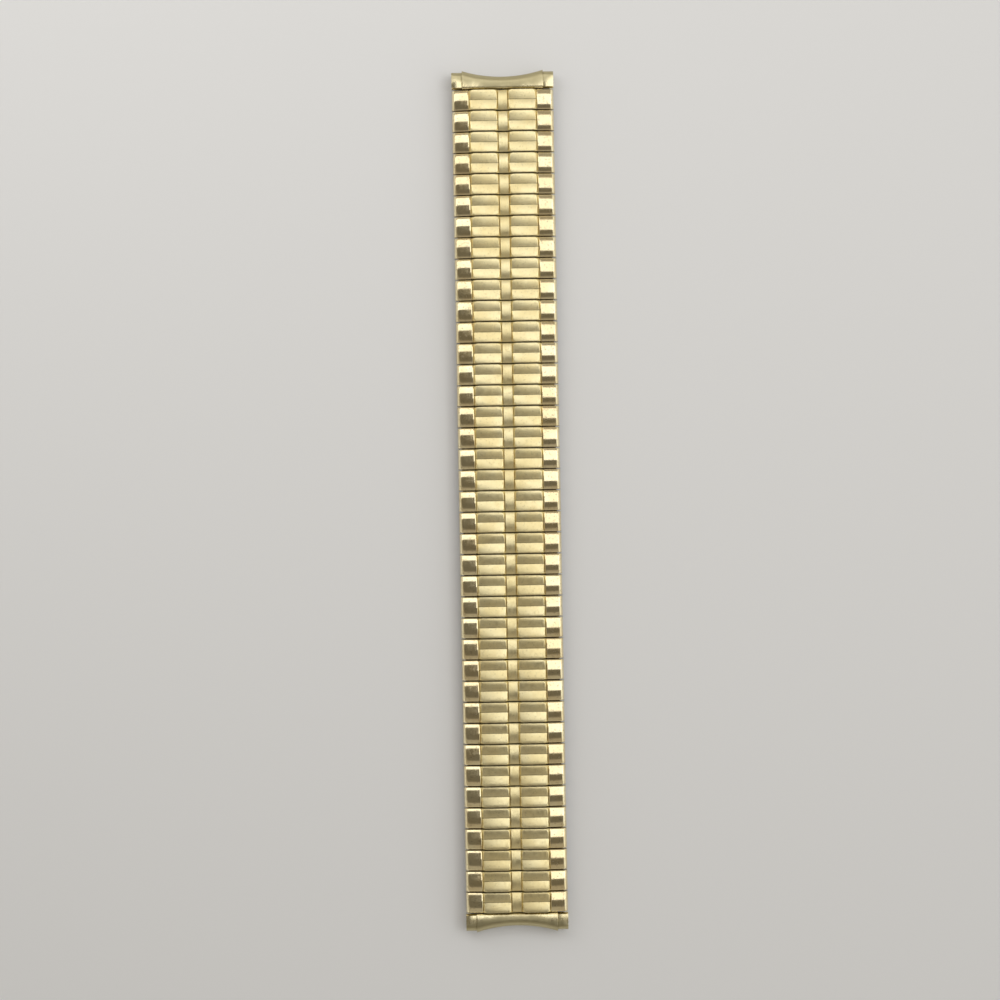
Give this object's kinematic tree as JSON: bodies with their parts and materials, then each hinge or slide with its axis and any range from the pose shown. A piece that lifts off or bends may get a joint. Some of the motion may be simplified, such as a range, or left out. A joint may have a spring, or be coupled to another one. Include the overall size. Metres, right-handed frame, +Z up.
{
  "type": "expansion watch band",
  "caption": "Gold-toned stretch metal watch band of sprung two-layer links, with polished side caps, grooved satin bricks and curved telescoping ends for spring bars.",
  "frame": {"origin": "middle of the underside of the closed band, on the surface it lies on", "axes": "+X across the band to the right, +Y along it towards the 12 o'clock end, +Z up out of the decorated face"},
  "size_m": [0.018, 0.1524, 0.003],
  "materials": {
    "satin_gold": "gold-toned, satin bricks and centre strip brushed lengthways, polished side caps",
    "polished_gold": "polished, gold-toned",
    "satin_steel": "brushed"
  },
  "bodies": {
    "link_20": {"link_20": "satin_gold"},
    "link_21": {"link_21": "satin_gold"},
    "lower_link_21_22": {"lower_link_21_22": "satin_steel"},
    "link_22": {"link_22": "satin_gold"},
    "link_23": {"link_23": "satin_gold"},
    "link_24": {"link_24": "satin_gold"},
    "lower_link_24_25": {"lower_link_24_25": "satin_steel"},
    "link_25": {"link_25": "satin_gold"},
    "link_26": {"link_26": "satin_gold"},
    "link_27": {"link_27": "satin_gold"},
    "lower_link_27_28": {"lower_link_27_28": "satin_steel"},
    "link_28": {"link_28": "satin_gold"},
    "link_29": {"link_29": "satin_gold"},
    "link_30": {"link_30": "satin_gold"},
    "lower_link_30_31": {"lower_link_30_31": "satin_steel"},
    "link_31": {"link_31": "satin_gold"},
    "link_32": {"link_32": "satin_gold"},
    "link_33": {"link_33": "satin_gold"},
    "lower_link_33_34": {"lower_link_33_34": "satin_steel"},
    "link_34": {"link_34": "satin_gold"},
    "link_35": {"link_35": "satin_gold"},
    "link_36": {"link_36": "satin_gold"},
    "lower_link_36_37": {"lower_link_36_37": "satin_steel"},
    "link_37": {"link_37": "satin_gold"},
    "link_38": {"link_38": "satin_gold"},
    "link_39": {"link_39": "satin_gold"},
    "end_anchor_bottom": {"end_anchor_bottom": "satin_steel"},
    "end_shell_bottom": {"end_shell_bottom": "polished_gold"},
    "lug_sleeve_bottom_left": {"lug_sleeve_bottom_left": "polished_gold"},
    "lug_sleeve_bottom_right": {"lug_sleeve_bottom_right": "polished_gold"},
    "link_19": {"link_19": "satin_gold"},
    "lower_link_18_19": {"lower_link_18_19": "satin_steel"},
    "link_18": {"link_18": "satin_gold"},
    "link_17": {"link_17": "satin_gold"},
    "link_16": {"link_16": "satin_gold"},
    "lower_link_15_16": {"lower_link_15_16": "satin_steel"},
    "link_15": {"link_15": "satin_gold"},
    "link_14": {"link_14": "satin_gold"},
    "link_13": {"link_13": "satin_gold"},
    "lower_link_12_13": {"lower_link_12_13": "satin_steel"},
    "link_12": {"link_12": "satin_gold"},
    "link_11": {"link_11": "satin_gold"},
    "link_10": {"link_10": "satin_gold"},
    "lower_link_09_10": {"lower_link_09_10": "satin_steel"},
    "link_09": {"link_09": "satin_gold"},
    "link_08": {"link_08": "satin_gold"},
    "link_07": {"link_07": "satin_gold"},
    "lower_link_06_07": {"lower_link_06_07": "satin_steel"},
    "link_06": {"link_06": "satin_gold"},
    "link_05": {"link_05": "satin_gold"},
    "link_04": {"link_04": "satin_gold"},
    "lower_link_03_04": {"lower_link_03_04": "satin_steel"},
    "link_03": {"link_03": "satin_gold"},
    "link_02": {"link_02": "satin_gold"},
    "link_01": {"link_01": "satin_gold"},
    "end_anchor_top": {"end_anchor_top": "satin_steel"},
    "end_shell_top": {"end_shell_top": "polished_gold"},
    "lug_sleeve_top_left": {"lug_sleeve_top_left": "polished_gold"},
    "lug_sleeve_top_right": {"lug_sleeve_top_right": "polished_gold"}
  },
  "joints": [
    {"name": "stretch", "type": "slide", "parent": "link_20", "child": "link_21", "axis": [0, -1, 0], "range_m": [0, 0.00095], "stiffness_N_per_m": 2000, "springref_m": -0.0005},
    {"name": "stretch_lower_link_21_22", "type": "slide", "parent": "link_21", "child": "lower_link_21_22", "axis": [0, -1, 0], "range_m": [0, 0.00095]},
    {"name": "curl", "type": "hinge", "parent": "lower_link_21_22", "child": "link_22", "pos_m": [0, -0.00746, 0.00045], "axis": [1, 0, 0], "range_deg": [0, 22]},
    {"name": "stretch_link_23", "type": "slide", "parent": "link_22", "child": "link_23", "axis": [0, -1, 0], "range_m": [0, 0.00095]},
    {"name": "stretch_link_24", "type": "slide", "parent": "link_23", "child": "link_24", "axis": [0, -1, 0], "range_m": [0, 0.00095]},
    {"name": "stretch_lower_link_24_25", "type": "slide", "parent": "link_24", "child": "lower_link_24_25", "axis": [0, -1, 0], "range_m": [0, 0.00095]},
    {"name": "curl_25", "type": "hinge", "parent": "lower_link_24_25", "child": "link_25", "pos_m": [0, -0.01865, 0.00045], "axis": [1, 0, 0], "range_deg": [0, 22]},
    {"name": "stretch_link_26", "type": "slide", "parent": "link_25", "child": "link_26", "axis": [0, -1, 0], "range_m": [0, 0.00095]},
    {"name": "stretch_link_27", "type": "slide", "parent": "link_26", "child": "link_27", "axis": [0, -1, 0], "range_m": [0, 0.00095]},
    {"name": "stretch_lower_link_27_28", "type": "slide", "parent": "link_27", "child": "lower_link_27_28", "axis": [0, -1, 0], "range_m": [0, 0.00095]},
    {"name": "curl_28", "type": "hinge", "parent": "lower_link_27_28", "child": "link_28", "pos_m": [0, -0.02984, 0.00045], "axis": [1, 0, 0], "range_deg": [0, 22]},
    {"name": "stretch_link_29", "type": "slide", "parent": "link_28", "child": "link_29", "axis": [0, -1, 0], "range_m": [0, 0.00095]},
    {"name": "stretch_link_30", "type": "slide", "parent": "link_29", "child": "link_30", "axis": [0, -1, 0], "range_m": [0, 0.00095]},
    {"name": "stretch_lower_link_30_31", "type": "slide", "parent": "link_30", "child": "lower_link_30_31", "axis": [0, -1, 0], "range_m": [0, 0.00095]},
    {"name": "curl_31", "type": "hinge", "parent": "lower_link_30_31", "child": "link_31", "pos_m": [0, -0.04103, 0.00045], "axis": [1, 0, 0], "range_deg": [0, 22]},
    {"name": "stretch_link_32", "type": "slide", "parent": "link_31", "child": "link_32", "axis": [0, -1, 0], "range_m": [0, 0.00095]},
    {"name": "stretch_link_33", "type": "slide", "parent": "link_32", "child": "link_33", "axis": [0, -1, 0], "range_m": [0, 0.00095]},
    {"name": "stretch_lower_link_33_34", "type": "slide", "parent": "link_33", "child": "lower_link_33_34", "axis": [0, -1, 0], "range_m": [0, 0.00095]},
    {"name": "curl_34", "type": "hinge", "parent": "lower_link_33_34", "child": "link_34", "pos_m": [0, -0.05222, 0.00045], "axis": [1, 0, 0], "range_deg": [0, 22]},
    {"name": "stretch_link_35", "type": "slide", "parent": "link_34", "child": "link_35", "axis": [0, -1, 0], "range_m": [0, 0.00095]},
    {"name": "stretch_link_36", "type": "slide", "parent": "link_35", "child": "link_36", "axis": [0, -1, 0], "range_m": [0, 0.00095]},
    {"name": "stretch_lower_link_36_37", "type": "slide", "parent": "link_36", "child": "lower_link_36_37", "axis": [0, -1, 0], "range_m": [0, 0.00095]},
    {"name": "curl_37", "type": "hinge", "parent": "lower_link_36_37", "child": "link_37", "pos_m": [0, -0.06341, 0.00045], "axis": [1, 0, 0], "range_deg": [0, 22]},
    {"name": "stretch_link_38", "type": "slide", "parent": "link_37", "child": "link_38", "axis": [0, -1, 0], "range_m": [0, 0.00095]},
    {"name": "stretch_link_39", "type": "slide", "parent": "link_38", "child": "link_39", "axis": [0, -1, 0], "range_m": [0, 0.00095]},
    {"name": "stretch_end_anchor_bottom", "type": "slide", "parent": "link_39", "child": "end_anchor_bottom", "axis": [0, -1, 0], "range_m": [0, 0.00095]},
    {"name": "end_tilt_bottom", "type": "hinge", "parent": "end_anchor_bottom", "child": "end_shell_bottom", "pos_m": [0, -0.07383, 0.00158], "axis": [1, 0, 0], "range_deg": [0, 30]},
    {"name": "widen_bottom_left", "type": "slide", "parent": "end_shell_bottom", "child": "lug_sleeve_bottom_left", "axis": [-1, 0, 0], "range_m": [0, 0.002]},
    {"name": "widen_bottom_right", "type": "slide", "parent": "end_shell_bottom", "child": "lug_sleeve_bottom_right", "axis": [1, 0, 0], "range_m": [0, 0.002]},
    {"name": "stretch_link_19", "type": "slide", "parent": "link_20", "child": "link_19", "axis": [0, 1, 0], "range_m": [0, 0.00095]},
    {"name": "stretch_lower_link_18_19", "type": "slide", "parent": "link_19", "child": "lower_link_18_19", "axis": [0, 1, 0], "range_m": [0, 0.00095]},
    {"name": "curl_18", "type": "hinge", "parent": "lower_link_18_19", "child": "link_18", "pos_m": [0, 0.00746, 0.00045], "axis": [-1, 0, 0], "range_deg": [0, 22]},
    {"name": "stretch_link_17", "type": "slide", "parent": "link_18", "child": "link_17", "axis": [0, 1, 0], "range_m": [0, 0.00095]},
    {"name": "stretch_link_16", "type": "slide", "parent": "link_17", "child": "link_16", "axis": [0, 1, 0], "range_m": [0, 0.00095]},
    {"name": "stretch_lower_link_15_16", "type": "slide", "parent": "link_16", "child": "lower_link_15_16", "axis": [0, 1, 0], "range_m": [0, 0.00095]},
    {"name": "curl_15", "type": "hinge", "parent": "lower_link_15_16", "child": "link_15", "pos_m": [0, 0.01865, 0.00045], "axis": [-1, 0, 0], "range_deg": [0, 22]},
    {"name": "stretch_link_14", "type": "slide", "parent": "link_15", "child": "link_14", "axis": [0, 1, 0], "range_m": [0, 0.00095]},
    {"name": "stretch_link_13", "type": "slide", "parent": "link_14", "child": "link_13", "axis": [0, 1, 0], "range_m": [0, 0.00095]},
    {"name": "stretch_lower_link_12_13", "type": "slide", "parent": "link_13", "child": "lower_link_12_13", "axis": [0, 1, 0], "range_m": [0, 0.00095]},
    {"name": "curl_12", "type": "hinge", "parent": "lower_link_12_13", "child": "link_12", "pos_m": [0, 0.02984, 0.00045], "axis": [-1, 0, 0], "range_deg": [0, 22]},
    {"name": "stretch_link_11", "type": "slide", "parent": "link_12", "child": "link_11", "axis": [0, 1, 0], "range_m": [0, 0.00095]},
    {"name": "stretch_link_10", "type": "slide", "parent": "link_11", "child": "link_10", "axis": [0, 1, 0], "range_m": [0, 0.00095]},
    {"name": "stretch_lower_link_09_10", "type": "slide", "parent": "link_10", "child": "lower_link_09_10", "axis": [0, 1, 0], "range_m": [0, 0.00095]},
    {"name": "curl_09", "type": "hinge", "parent": "lower_link_09_10", "child": "link_09", "pos_m": [0, 0.04103, 0.00045], "axis": [-1, 0, 0], "range_deg": [0, 22]},
    {"name": "stretch_link_08", "type": "slide", "parent": "link_09", "child": "link_08", "axis": [0, 1, 0], "range_m": [0, 0.00095]},
    {"name": "stretch_link_07", "type": "slide", "parent": "link_08", "child": "link_07", "axis": [0, 1, 0], "range_m": [0, 0.00095]},
    {"name": "stretch_lower_link_06_07", "type": "slide", "parent": "link_07", "child": "lower_link_06_07", "axis": [0, 1, 0], "range_m": [0, 0.00095]},
    {"name": "curl_06", "type": "hinge", "parent": "lower_link_06_07", "child": "link_06", "pos_m": [0, 0.05222, 0.00045], "axis": [-1, 0, 0], "range_deg": [0, 22]},
    {"name": "stretch_link_05", "type": "slide", "parent": "link_06", "child": "link_05", "axis": [0, 1, 0], "range_m": [0, 0.00095]},
    {"name": "stretch_link_04", "type": "slide", "parent": "link_05", "child": "link_04", "axis": [0, 1, 0], "range_m": [0, 0.00095]},
    {"name": "stretch_lower_link_03_04", "type": "slide", "parent": "link_04", "child": "lower_link_03_04", "axis": [0, 1, 0], "range_m": [0, 0.00095]},
    {"name": "curl_03", "type": "hinge", "parent": "lower_link_03_04", "child": "link_03", "pos_m": [0, 0.06341, 0.00045], "axis": [-1, 0, 0], "range_deg": [0, 22]},
    {"name": "stretch_link_02", "type": "slide", "parent": "link_03", "child": "link_02", "axis": [0, 1, 0], "range_m": [0, 0.00095]},
    {"name": "stretch_link_01", "type": "slide", "parent": "link_02", "child": "link_01", "axis": [0, 1, 0], "range_m": [0, 0.00095]},
    {"name": "stretch_end_anchor_top", "type": "slide", "parent": "link_01", "child": "end_anchor_top", "axis": [0, 1, 0], "range_m": [0, 0.00095]},
    {"name": "end_tilt_top", "type": "hinge", "parent": "end_anchor_top", "child": "end_shell_top", "pos_m": [0, 0.07383, 0.00158], "axis": [-1, 0, 0], "range_deg": [0, 30]},
    {"name": "widen_top_left", "type": "slide", "parent": "end_shell_top", "child": "lug_sleeve_top_left", "axis": [-1, 0, 0], "range_m": [0, 0.002]},
    {"name": "widen_top_right", "type": "slide", "parent": "end_shell_top", "child": "lug_sleeve_top_right", "axis": [1, 0, 0], "range_m": [0, 0.002]}
  ],
  "couplings": [
    {"joint": "stretch_lower_link_21_22", "follows": "stretch", "ratio": 1},
    {"joint": "stretch_link_23", "follows": "stretch", "ratio": 1},
    {"joint": "stretch_link_24", "follows": "stretch", "ratio": 1},
    {"joint": "stretch_lower_link_24_25", "follows": "stretch", "ratio": 1},
    {"joint": "curl_25", "follows": "curl", "ratio": 1},
    {"joint": "stretch_link_26", "follows": "stretch", "ratio": 1},
    {"joint": "stretch_link_27", "follows": "stretch", "ratio": 1},
    {"joint": "stretch_lower_link_27_28", "follows": "stretch", "ratio": 1},
    {"joint": "curl_28", "follows": "curl", "ratio": 1},
    {"joint": "stretch_link_29", "follows": "stretch", "ratio": 1},
    {"joint": "stretch_link_30", "follows": "stretch", "ratio": 1},
    {"joint": "stretch_lower_link_30_31", "follows": "stretch", "ratio": 1},
    {"joint": "curl_31", "follows": "curl", "ratio": 1},
    {"joint": "stretch_link_32", "follows": "stretch", "ratio": 1},
    {"joint": "stretch_link_33", "follows": "stretch", "ratio": 1},
    {"joint": "stretch_lower_link_33_34", "follows": "stretch", "ratio": 1},
    {"joint": "curl_34", "follows": "curl", "ratio": 1},
    {"joint": "stretch_link_35", "follows": "stretch", "ratio": 1},
    {"joint": "stretch_link_36", "follows": "stretch", "ratio": 1},
    {"joint": "stretch_lower_link_36_37", "follows": "stretch", "ratio": 1},
    {"joint": "curl_37", "follows": "curl", "ratio": 1},
    {"joint": "stretch_link_38", "follows": "stretch", "ratio": 1},
    {"joint": "stretch_link_39", "follows": "stretch", "ratio": 1},
    {"joint": "stretch_end_anchor_bottom", "follows": "stretch", "ratio": 1},
    {"joint": "stretch_link_19", "follows": "stretch", "ratio": 1},
    {"joint": "stretch_lower_link_18_19", "follows": "stretch", "ratio": 1},
    {"joint": "curl_18", "follows": "curl", "ratio": 1},
    {"joint": "stretch_link_17", "follows": "stretch", "ratio": 1},
    {"joint": "stretch_link_16", "follows": "stretch", "ratio": 1},
    {"joint": "stretch_lower_link_15_16", "follows": "stretch", "ratio": 1},
    {"joint": "curl_15", "follows": "curl", "ratio": 1},
    {"joint": "stretch_link_14", "follows": "stretch", "ratio": 1},
    {"joint": "stretch_link_13", "follows": "stretch", "ratio": 1},
    {"joint": "stretch_lower_link_12_13", "follows": "stretch", "ratio": 1},
    {"joint": "curl_12", "follows": "curl", "ratio": 1},
    {"joint": "stretch_link_11", "follows": "stretch", "ratio": 1},
    {"joint": "stretch_link_10", "follows": "stretch", "ratio": 1},
    {"joint": "stretch_lower_link_09_10", "follows": "stretch", "ratio": 1},
    {"joint": "curl_09", "follows": "curl", "ratio": 1},
    {"joint": "stretch_link_08", "follows": "stretch", "ratio": 1},
    {"joint": "stretch_link_07", "follows": "stretch", "ratio": 1},
    {"joint": "stretch_lower_link_06_07", "follows": "stretch", "ratio": 1},
    {"joint": "curl_06", "follows": "curl", "ratio": 1},
    {"joint": "stretch_link_05", "follows": "stretch", "ratio": 1},
    {"joint": "stretch_link_04", "follows": "stretch", "ratio": 1},
    {"joint": "stretch_lower_link_03_04", "follows": "stretch", "ratio": 1},
    {"joint": "curl_03", "follows": "curl", "ratio": 1},
    {"joint": "stretch_link_02", "follows": "stretch", "ratio": 1},
    {"joint": "stretch_link_01", "follows": "stretch", "ratio": 1},
    {"joint": "stretch_end_anchor_top", "follows": "stretch", "ratio": 1}
  ]
}
